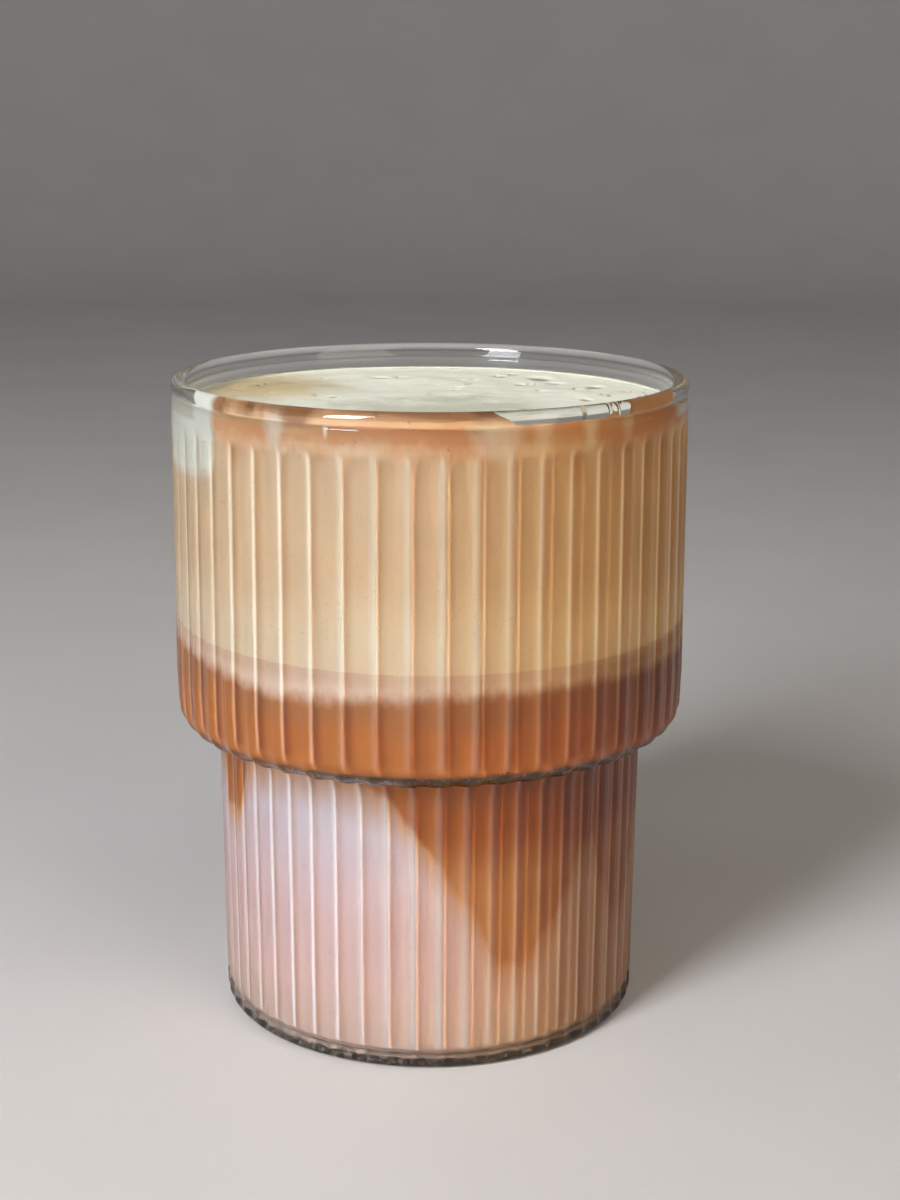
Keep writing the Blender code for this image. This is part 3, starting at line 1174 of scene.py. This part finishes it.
    def inside(self) -> list[Point]:
        """Draws the smooth inner wall and the floor, from the rim down to the axis.

        Returns:
            Their points.
        """
        upper = self.straight((97.4, 96.8, 90, 75, 60, 52), self.wall)
        shoulder = arc(self.shoulder, self.shoulder_round - self.wall, 0, -90, 8)
        crotch = arc(self.crotch, self.crotch_round + self.wall, 90, 180, 9)
        narrow = self.straight((30, 15, 6.5), self.wall)
        corner_z = self.floor + self.floor_round
        corner = (self.radius_at(corner_z, self.wall) - self.floor_round, corner_z)
        flat = [(20 * MM, self.floor), (9 * MM, self.floor), (0.0, self.floor)]
        return upper + shoulder + crotch + narrow + arc(corner, self.floor_round, 0, -90, 7) + flat

    def press(self, sector: bpy.types.Object, outline: list[Point]) -> None:
        """Presses the flute of one sector into its outer wall.

        Args:
            sector: The sector, with a column of points at each side.
            outline: The glass's outline.
        """
        outer = max(range(len(outline)), key=lambda i: outline[i][1])
        places = np.array(outline)
        hollow = sector.vertex_groups.new(name="hollow")
        depth = max(self.upper.depth, self.lower.depth)
        for vertex in sector.data.vertices:
            x, y, z = vertex.co
            index = int(np.argmin(np.hypot(places[:, 0] - hypot(x, y), places[:, 1] - z)))
            if index > outer or hypot(x, y) < self.foot_radius - self.foot_round:
                continue
            across = min(abs(degrees(atan2(y, x))) / self.pitch, 1.0)
            row = self.upper if z > self.upper.bottom else self.lower
            hollow.add([vertex.index], row.pressed(across, z) / depth, "REPLACE")
        push = sector.modifiers.new("Press", "DISPLACE")
        push.vertex_group = hollow.name
        push.direction = "NORMAL"
        push.mid_level = 0.0
        push.strength = -depth
        bpy.ops.object.modifier_apply(modifier=push.name)
        sector.vertex_groups.clear()

    def build(self) -> bpy.types.Object:
        """Models one sector of a flute and copies it round the axis.

        Returns:
            The glass as one closed mesh.
        """
        outline = self.outline()
        bench = Bench("glass_body")
        bench.chain(outline)
        bench.spin([self.pitch * share for share in self.columns])
        bench.close()
        self.press(bench.leave(), outline)
        bpy.ops.object.mode_set(mode="EDIT")
        bench.copy_round(self.flutes)
        bench.close()
        glass = bench.leave()
        glass.data.transform(Matrix.Rotation(radians(self.first_ridge - 90), 4, "Z"))
        return glass


# ---------------------------------------- drink


@dataclass(frozen=True)
class Level:
    """A level in the drink: its height at the wall all round, and its height at the axis."""

    rest: float
    knots: tuple[Point, ...] = ()
    fade: float = 2.0
    rounding: tuple[float, ...] = (-1.2, -0.4, 0.4, 1.2)

    def edge(self, azimuth: np.ndarray) -> np.ndarray:
        """Reads the level at the wall.

        Args:
            azimuth: Azimuths in degrees.

        Returns:
            The heights there, in metres.
        """
        if not self.knots:
            return np.full(np.shape(azimuth), self.rest)
        at, height = np.array(self.knots).T
        spread = [np.interp(azimuth + step, at, height * MM, period=360) for step in self.rounding]
        return np.mean(spread, axis=0)

    def at(self, azimuth: np.ndarray, share: np.ndarray) -> np.ndarray:
        """Returns the height inside the drink, at azimuths and at shares of the wall's radius."""
        return self.rest + (self.edge(azimuth) - self.rest) * share**self.fade


@dataclass(frozen=True)
class Levels:
    """Where the layers of the drink meet, at the wall in (degrees, millimetres)."""

    floor: Level = Level(1.65 * MM)
    milk: Level = Level(
        44.8 * MM,
        (
            (-94, 44.4), (-83, 43), (-78, 39), (-76, 34.6), (-72, 33), (-66.5, 32.8),
            (-64, 34.2), (-61.5, 39), (-56, 43.6), (-46, 44.7), (-30, 44.9), (-18, 44.2),
            (-9.4, 41), (-5, 38), (1.7, 32), (9.4, 26), (15.5, 20.7), (17.2, 15.8),
            (24, 14.8), (30.5, 16.5), (32.8, 20), (36.7, 20.4), (38, 24), (44, 29.5),
            (45.5, 31.8), (51.5, 31.6), (55, 25), (60.5, 20), (63, 17), (69, 17),
            (76, 24), (88, 33), (98, 41), (108, 36), (122, 29.5), (136, 37),
            (148, 42), (160, 33), (172, 22), (180, 20.5), (190, 28), (206, 41.5),
            (224, 39), (238, 32.3), (252, 41),
        ),
    )
    coffee: Level = Level(
        60.0 * MM,
        (
            (-80, 60.6), (-65, 60.2), (-50, 59.4), (-42, 58.3), (-33, 57.9), (-24, 58.6),
            (-10, 59.3), (0, 59.8), (20, 60), (40, 59.7), (60, 59), (80, 58.8),
            (110, 59.6), (150, 58.9), (190, 58.3), (230, 59.6),
        ),
    )
    blend: Level = Level(63.0 * MM)
    latte: Level = Level(
        94.5 * MM,
        (
            (-84, 88), (-78, 86.6), (-64, 87.2), (-54.2, 88), (-52.4, 94.6), (-46, 95),
            (-36, 93.7), (-30, 94.9), (-20, 94.6), (-12, 95.1), (0, 94.4), (10, 93.9),
            (16, 94.6), (30, 94.9), (47, 93.8), (56, 94.3), (66, 94.8), (90, 94.2),
            (118, 93), (150, 94.6), (186, 92.4), (220, 94.4), (250, 93.4), (268, 90),
        ),
    )
    film: Level = Level(
        97.2 * MM,
        (
            (-96, 96.3), (-84, 97), (-76, 97.9), (-64, 98), (-61, 98.6), (-57, 99.5),
            (-44, 99.6), (6, 99.6), (11, 99.2), (15, 98.8), (19, 98.2), (22, 98),
            (25, 98.3), (29, 98), (34, 98.5), (38, 98.3), (42, 98.6), (46, 98.4),
            (50, 98.9), (56, 99.6), (60, 99.5), (66, 98.4), (72, 97), (88, 96.3),
            (130, 96.3), (180, 96.1), (230, 96.4), (258, 96.2),
        ),
    )


@dataclass
class Layer:
    """One layer of the drink, from one level to the next, reaching just into the glass."""

    name: str
    node: str
    slot: Slot
    low: Level
    high: Level
    tumbler: Tumbler
    levels: Levels
    rows: int = 24
    cap_rings: int = 10
    columns: int = 360
    reach: float = 0.25 * MM
    crease: float = 35.0

    def rings(self) -> list[float]:
        """Returns the radii of the rings on the layer's underside, as shares."""
        return [i / self.cap_rings for i in range(self.cap_rings)]

    def top_rings(self) -> list[float]:
        """Returns the radii of the rings on the layer's top, as shares."""
        return self.rings()

    def nominal(self) -> list[Point]:
        """Draws the outline of a plain drum, a millimetre high and in radius.

        Returns:
            Its points.
        """
        side = [(1.0, i / self.rows) for i in range(self.rows + 1)]
        outline = [(r, 0.0) for r in self.rings()] + side + [(r, 1.0) for r in reversed(self.top_rings())]
        return [(r * MM, z * MM) for r, z in outline]

    def wall_radius(self, heights: np.ndarray) -> np.ndarray:
        """Follows the inner wall and the floor's round corner.

        Args:
            heights: Heights on the drink's side.

        Returns:
            The radii of the side, which reaches just into the wall.
        """
        inset, corner = self.tumbler.wall - self.reach, self.tumbler.floor_round
        table = np.linspace(0.0, self.tumbler.height, 2001)
        radii = [self.tumbler.radius_at(z, inset) for z in table]
        drop = np.clip(self.tumbler.floor + corner - heights, 0.0, corner)
        return np.interp(heights, table, radii) - corner + np.sqrt(corner**2 - drop**2)

    def surface(self, azimuth: np.ndarray, share: np.ndarray, bare: np.ndarray) -> np.ndarray:
        """Returns the top's height; a layer that shows its top adds its relief here."""
        return self.high.at(azimuth, share)

    def build(self) -> bpy.types.Object:
        """Spins a drum and pours it to its levels.

        Returns:
            The layer as one closed mesh, with its values kept for the finish.
        """
        bench = Bench(self.name)
        bench.chain(self.nominal())
        bench.spin_whole(self.columns)
        bench.close()
        piece = bench.leave()
        x, y, up = (points_of(piece) / MM).T
        share = np.minimum(np.hypot(x, y), 1.0)
        azimuth = np.degrees(np.arctan2(x, -y))
        low = self.low.at(azimuth, share)
        height = low + (self.surface(azimuth, share, up) - low) * up
        wall_low, wall_high = self.low.edge(azimuth), self.high.edge(azimuth)
        radius = share * self.wall_radius(wall_low + (wall_high - wall_low) * up)
        turn = np.radians(azimuth)
        move_points(piece, np.stack([radius * np.sin(turn), -radius * np.cos(turn), height], 1))
        bpy.ops.object.shade_smooth_by_angle(angle=radians(self.crease))
        for mark, level in zip(Mark, (self.levels.milk, self.levels.coffee, self.levels.latte)):
            keep_value(piece, mark, height - level.edge(azimuth))
        return piece


@dataclass
class Foam(Layer):
    """The cap of foam, with its pits and swells, drawn up the wall as a thin film."""

    film_thick: float = 0.35 * MM
    surface_z: float = 95.75 * MM
    ring_radius: float = 37.0 * MM
    meniscus: float = 0.16 * MM
    meniscus_width: float = 0.9 * MM
    tan_patch: Place = mm(-29, 15, 95.8)
    wet_patch: Place = mm(2, -14, 95.8)
    swells: tuple[Window, ...] = ((15, 12, 3.1, 0.32), (5, 5, 7.7, 0.16), (1.8, 1.8, 1.3, 0.05))
    pit_depth: float = 0.22
    small_pits: int = 60
    small_depth: Point = (0.12, 0.25)
    small_size: Point = (0.35, 0.8)
    seed: int = 11
    fine_rings: int = 110
    fine_edge: tuple[float, ...] = (0.965, 0.974, 0.981, 0.986, 0.990, 0.994, 0.997)

    def spots(self, places: tuple[Place, ...]) -> list[tuple[Place, float]]:
        """Returns spots on the foam as place and radius, from x, y and radius in millimetres."""
        return [((x * MM, y * MM, self.surface_z), size * MM) for x, y, size in places]

    @property
    def pits(self) -> list[tuple[Place, float]]:
        """The larger pits, most of them towards the back right."""
        return self.spots((
            (11.6, 27.0, 1.3), (13.8, 28.8, 1.1), (14.7, 18.7, 0.9), (18.0, 25.0, 1.9),
            (20.3, 20.5, 1.4), (26.4, 15.5, 1.6), (31.0, 9.6, 0.9), (-8.0, 25.0, 1.4),
            (-4.6, 25.6, 1.1), (4.0, 12.0, 0.8), (24.0, 2.0, 0.9), (-15.0, 4.0, 0.8),
        ))

    @property
    def streaks(self) -> list[tuple[Place, float]]:
        """Brownish streaks in the tan patch."""
        return self.spots(((-27.3, 14.6, 2.6), (-25.2, 16.6, 2.2), (-23.6, 19.4, 2.2), (-16.6, 17.6, 1.7)))

    def top_rings(self) -> list[float]:
        """Returns the radii of the fine rings on the foam's top, as shares."""
        return [self.fine_edge[0] * i / self.fine_rings for i in range(self.fine_rings)] + [*self.fine_edge]

    def relief(self, x: float, y: float) -> float:
        """Shapes the foam's swells and lumps.

        Args:
            x: Place to the right of the axis.
            y: Place behind the axis.

        Returns:
            The height of the surface there.
        """
        return sum(
            noise.noise(Vector((x / (wide * MM), y / (deep * MM), slice_z))) * high * MM
            for wide, deep, slice_z, high in self.swells
        )

    def pit_places(self) -> list[tuple[float, float, float, float]]:
        """Lists the pits in the foam, large and small.

        Returns:
            The x, y, radius and depth of each.
        """
        draw = random.Random(self.seed)
        found = [(x, y, size, self.pit_depth * size) for (x, y, _), size in self.pits]
        for _ in range(self.small_pits):
            turn, out = draw.uniform(0, 2 * pi), sqrt(draw.uniform(0.02, 0.9)) * self.ring_radius
            size = draw.uniform(*self.small_size) * MM
            found.append((out * cos(turn), out * sin(turn), size, size * draw.uniform(*self.small_depth)))
        return found

    def wall_radius(self, heights: np.ndarray) -> np.ndarray:
        """Follows the inner wall and the inside of the rim's bead.

        Args:
            heights: Heights on the foam's side.

        Returns:
            The radii of the side.
        """
        (bead_r, bead_z), bead = self.tumbler.bead, self.tumbler.bead_radius
        away = np.clip(np.abs(heights - bead_z), 0.0, bead)
        inner = bead_r - np.sqrt(bead**2 - away**2) + self.reach
        return np.minimum(super().wall_radius(heights), inner)

    def surface(self, azimuth: np.ndarray, share: np.ndarray, bare: np.ndarray) -> np.ndarray:
        """Shapes the foam's top: swells, pits and the film drawn up the wall.

        Args:
            azimuth: Azimuths in degrees.
            share: Shares of the wall's radius.
            bare: Heights on the plain drum, 1 on its top.

        Returns:
            The heights of the top.
        """
        turn = np.radians(azimuth)
        x, y = share * self.ring_radius * np.sin(turn), -share * self.ring_radius * np.cos(turn)
        rise = np.zeros(len(x))
        for index in np.flatnonzero(bare > 0.5):
            rise[index] = self.relief(x[index], y[index])
        for pit_x, pit_y, size, depth in self.pit_places():
            rise -= depth * np.exp(-((np.hypot(x - pit_x, y - pit_y) / size) ** 4))
        from_wall = (1 - share) * self.ring_radius
        climb = np.clip(1 - from_wall / self.film_thick, 0.0, 1.0) ** 0.5
        height = self.surface_z + rise * (1 - share**10)
        height = height + self.meniscus * np.exp(-from_wall / self.meniscus_width)
        return height + (self.high.edge(azimuth) - height) * climb


@dataclass
class Bubbles:
    """Small bubbles of one kind, each a dome with a flattened underside: place, up and size."""

    name: str
    spots: list[tuple[Vector, Vector, float]]
    segments: int = 14
    rings: int = 9
    cut_z: float = -0.35
    flat_inset: float = 0.25
    flat_rise: float = 0.12
    squash: float = 0.8

    def model(self) -> bpy.types.Object:
        """Models one bubble of unit size that stands on its flat side.

        Returns:
            The bubble.
        """
        bpy.ops.object.select_all(action="DESELECT")
        bpy.ops.mesh.primitive_uv_sphere_add(segments=self.segments, ring_count=self.rings, radius=1.0)
        dome = bpy.context.object
        dome.name = self.name
        bpy.ops.object.mode_set(mode="EDIT")
        bpy.ops.mesh.select_all(action="SELECT")
        cut = {"plane_co": (0, 0, self.cut_z), "plane_no": (0, 0, 1)}
        bpy.ops.mesh.bisect(clear_inner=True, use_fill=True, **cut)
        bpy.ops.mesh.inset(thickness=self.flat_inset, depth=self.flat_rise)
        bpy.ops.mesh.select_all(action="SELECT")
        bpy.ops.transform.resize(value=(1.0, 1.0, self.squash))
        bpy.ops.mesh.normals_make_consistent(inside=False)
        bpy.ops.object.mode_set(mode="OBJECT")
        dome.data.shade_smooth()
        return dome

    def build(self) -> bpy.types.Object:
        """Copies the bubble to every spot.

        Returns:
            All the bubbles as one mesh.
        """
        first = self.model()
        copies = []
        for place, out, size in self.spots:
            copy = first.copy()
            copy.data = first.data.copy()
            bpy.context.scene.collection.objects.link(copy)
            turn = Vector((0, 0, 1)).rotation_difference(out).to_matrix().to_4x4()
            copy.data.transform(Matrix.Translation(place) @ turn @ Matrix.Diagonal((size, size, size, 1.0)))
            copies.append(copy)
        bpy.data.objects.remove(first)
        bpy.ops.object.select_all(action="DESELECT")
        for copy in copies:
            copy.select_set(True)
        bpy.context.view_layer.objects.active = copies[0]
        bpy.ops.object.join()
        copies[0].name = self.name
        return copies[0]

    @classmethod
    def on_foam(cls, foam: Foam, count: int, seed: int) -> "Bubbles":
        """Floats bubbles on the foam near its pits.

        Args:
            foam: The foam that they float on.
            count: How many there are.
            seed: What the draw starts from.

        Returns:
            The bubbles.
        """
        spread, sizes, from_wall, sunk = (0.9, 2.2), (0.12, 0.34), 1.5 * MM, 0.05 * MM
        draw = random.Random(seed)
        pits = foam.pit_places()
        spots = []
        for _ in range(count):
            x, y, size, _ = draw.choice(pits)
            turn, out = draw.uniform(0, 2 * pi), size * draw.uniform(*spread)
            x, y = x + out * cos(turn), y + out * sin(turn)
            if hypot(x, y) > foam.ring_radius - from_wall:
                continue
            height = foam.surface_z + foam.relief(x, y) - sunk
            spots.append((Vector((x, y, height)), Vector((0, 0, 1)), draw.uniform(*sizes) * MM))
        return cls("froth_bubbles", spots)

    @classmethod
    def on_wall(cls, foam: Foam, azimuths: tuple[Point, ...], count: int, seed: int) -> "Bubbles":
        """Lines bubbles up on the wall along the film's edge.

        Args:
            foam: The foam, for the film's edge.
            azimuths: Stretches of the wall, as start and end in degrees.
            count: How many each stretch has.
            seed: What the draw starts from.

        Returns:
            The bubbles.
        """
        around, sizes, clear = (-0.5, 0.25), (0.16, 0.42), 0.02 * MM
        draw = random.Random(seed)
        spots = []
        for start, end in azimuths:
            for _ in range(count):
                azimuth = draw.uniform(start, end)
                height = float(foam.high.edge(np.array([azimuth]))[0]) + draw.uniform(*around) * MM
                radius = float(foam.wall_radius(np.array([height]))[0]) - foam.reach - clear
                turn = radians(azimuth)
                place = Vector((radius * sin(turn), -radius * cos(turn), height))
                out = Vector((-sin(turn), cos(turn), 0.0))
                spots.append((place, out, draw.uniform(*sizes) * MM))
        return cls("wall_bubbles", spots)


# ---------------------------------------- studio


@dataclass(frozen=True)
class Softbox:
    """One soft light, aimed at the glass."""

    name: str
    azimuth: float
    elevation: float
    distance: float
    width: float
    height: float
    power: float
    colour: Colour

    def build(self, aim: Vector) -> None:
        """Adds the light.

        Args:
            aim: The point that it is aimed at.
        """
        data = bpy.data.lights.new(self.name, "AREA")
        data.shape = "RECTANGLE"
        data.size, data.size_y = self.width, self.height
        data.energy = self.power
        data.color = self.colour
        lamp = bpy.data.objects.new(self.name, data)
        bpy.context.scene.collection.objects.link(lamp)
        turn, rise = radians(self.azimuth), radians(self.elevation)
        out = Vector((sin(turn) * cos(rise), -cos(turn) * cos(rise), sin(rise)))
        lamp.location = aim + out * self.distance
        lamp.rotation_euler = out.to_track_quat("Z", "Y").to_euler()
        lamp.visible_camera = False


@dataclass(frozen=True)
class Studio:
    """The plain floor, the soft light and the camera."""

    lens: float = 59.21
    camera_place: Place = (0.0, -0.301633, 0.141356)
    pitch: float = 14.361
    yaw: float = -0.6034
    roll: float = -0.2569
    clip: Point = (0.01, 20.0)
    floor_radius: float = 1.6
    floor_bend: float = 0.5
    floor_drop: float = 0.05 * MM
    backdrop_top: float = 1.4
    floor_colour: Colour = (0.62, 0.60, 0.585)
    floor_grain: Pattern = Pattern(60 * MM, 3.0)
    floor_grain_span: Point = (0.35, 0.65)
    floor_dimmed: float = 0.97
    floor_roughness: float = 0.75
    world_colour: Colour = (0.80, 0.84, 0.88)
    world_strength: float = 0.10
    aim: Place = (0.0, 0.0, 0.05)
    lights: tuple[Softbox, ...] = (
        Softbox("window_light", -38.0, 30.0, 0.8, 0.22, 0.60, 8.5, (0.95, 0.97, 1.0)),
        Softbox("overhead_light", 10.0, 70.0, 0.9, 0.6, 0.6, 0.9, (1.0, 0.98, 0.95)),
        Softbox("warm_fill", 40.0, 30.0, 0.8, 0.50, 0.60, 2.0, (1.0, 0.85, 0.70)),
    )

    def build_camera(self) -> None:
        """Adds the camera, which looks a little down on the glass."""
        data = bpy.data.cameras.new("camera")
        data.lens = self.lens
        data.clip_start, data.clip_end = self.clip
        camera = bpy.data.objects.new("camera", data)
        bpy.context.scene.collection.objects.link(camera)
        pitch, yaw, roll = radians(self.pitch), radians(self.yaw), radians(self.roll)
        ahead = Vector((-sin(yaw) * cos(pitch), cos(yaw) * cos(pitch), -sin(pitch)))
        right = Vector((cos(yaw), sin(yaw), 0.0))
        up = right.cross(ahead)
        axes = Matrix((right * cos(roll) - up * sin(roll), right * sin(roll) + up * cos(roll), -ahead))
        place = axes.transposed().to_4x4()
        place.translation = self.camera_place
        camera.matrix_world = place
        bpy.context.scene.camera = camera

    def build_floor(self) -> None:
        """Adds a pale floor that curves up into a backdrop all round."""
        bench = Bench("studio_floor")
        flat = self.floor_radius - self.floor_bend
        bend = arc((flat, self.floor_bend - self.floor_drop), self.floor_bend, -90, 0, 12)
        bench.chain(
            [(0.0, -self.floor_drop), (flat * 0.4, -self.floor_drop)]
            + bend
            + [(self.floor_radius, self.backdrop_top)]
        )
        bench.spin_whole(96)
        bench.close()
        floor = bench.leave()
        material, graph, shader = Finish("studio_paper").start()
        grain = graph.span(graph.noise(graph.place(), self.floor_grain), *self.floor_grain_span)
        soft = tuple(self.floor_dimmed * channel for channel in self.floor_colour)
        graph.fill(shader, Base_Color=graph.mix(grain, self.floor_colour, soft))
        graph.fill(shader, Roughness=self.floor_roughness)
        floor.data.materials.append(material)

    def build_world(self) -> None:
        """Adds an even pale light from all round."""
        world = bpy.data.worlds.new("studio")
        bpy.context.scene.world = world
        world.use_nodes = True
        background = world.node_tree.nodes["Background"]
        background.inputs["Color"].default_value = (*self.world_colour, 1.0)
        background.inputs["Strength"].default_value = self.world_strength

    def build(self) -> None:
        """Adds the whole studio."""
        self.build_camera()
        self.build_floor()
        self.build_world()
        for light in self.lights:
            light.build(Vector(self.aim))
        bpy.context.scene.view_settings.view_transform = "Standard"
        bpy.context.scene.cycles.blur_glossy = 0.0


def main() -> None:
    """Builds the glass, the drink and the studio, in that order."""
    logging.basicConfig(level=logging.INFO, format="%(name)s: %(message)s")
    tumbler = Tumbler.from_frame()
    levels = Levels()
    speckle = speckle_group()
    flute_light = flute_light_group(tumbler.pitch, tumbler.first_ridge)
    drink = Drink().build(soft_edge_group(), wall_mark_group(), flute_light)
    hand_over(tumbler.build(), Slot.GLASS, GlassFinish("clear_glass").build(), "glass_tumbler")

    milk = DrinkFinish("milk", clouds=0.07, bubbles=0.06)
    coffee = DrinkFinish("coffee", clouds=0.16, bubbles=0.04)
    blend = DrinkFinish("pale_blend", clouds=0.07, bubbles=0.12)
    latte = DrinkFinish("latte", clouds=0.11, bubbles=0.14, bubble=0.7 * MM)
    for name, node, slot, low, high, rows, finish in (
        ("milk_fill", "milk_layer", Slot.MILK, levels.floor, levels.milk, 44, milk),
        ("coffee_fill", "coffee_layer", Slot.COFFEE, levels.milk, levels.coffee, 90, coffee),
        ("blend_fill", "pale_blend_band", Slot.BLEND, levels.coffee, levels.blend, 6, blend),
        ("latte_fill", "latte_layer", Slot.LATTE, levels.blend, levels.latte, 30, latte),
    ):
        layer = Layer(name, node, slot, low, high, tumbler, levels, rows)
        hand_over(layer.build(), slot, finish.build(drink, speckle), node)

    foam = Foam("foam_head", "foam_cap", Slot.FOAM, levels.latte, levels.film, tumbler, levels, 10)
    foam_finish = FoamFinish("milk_foam").build(drink, speckle, foam)
    hand_over(foam.build(), foam.slot, foam_finish, foam.node)
    bubble = BubbleFinish("bubble_skin").build()
    hand_over(Bubbles.on_foam(foam, 70, 5).build(), Slot.FOAM, bubble)
    hand_over(Bubbles.on_wall(foam, ((16.0, 52.0), (50.0, 66.0)), 22, 9).build(), Slot.FOAM, bubble)

    Studio().build()


if __name__ == "__main__":
    main()
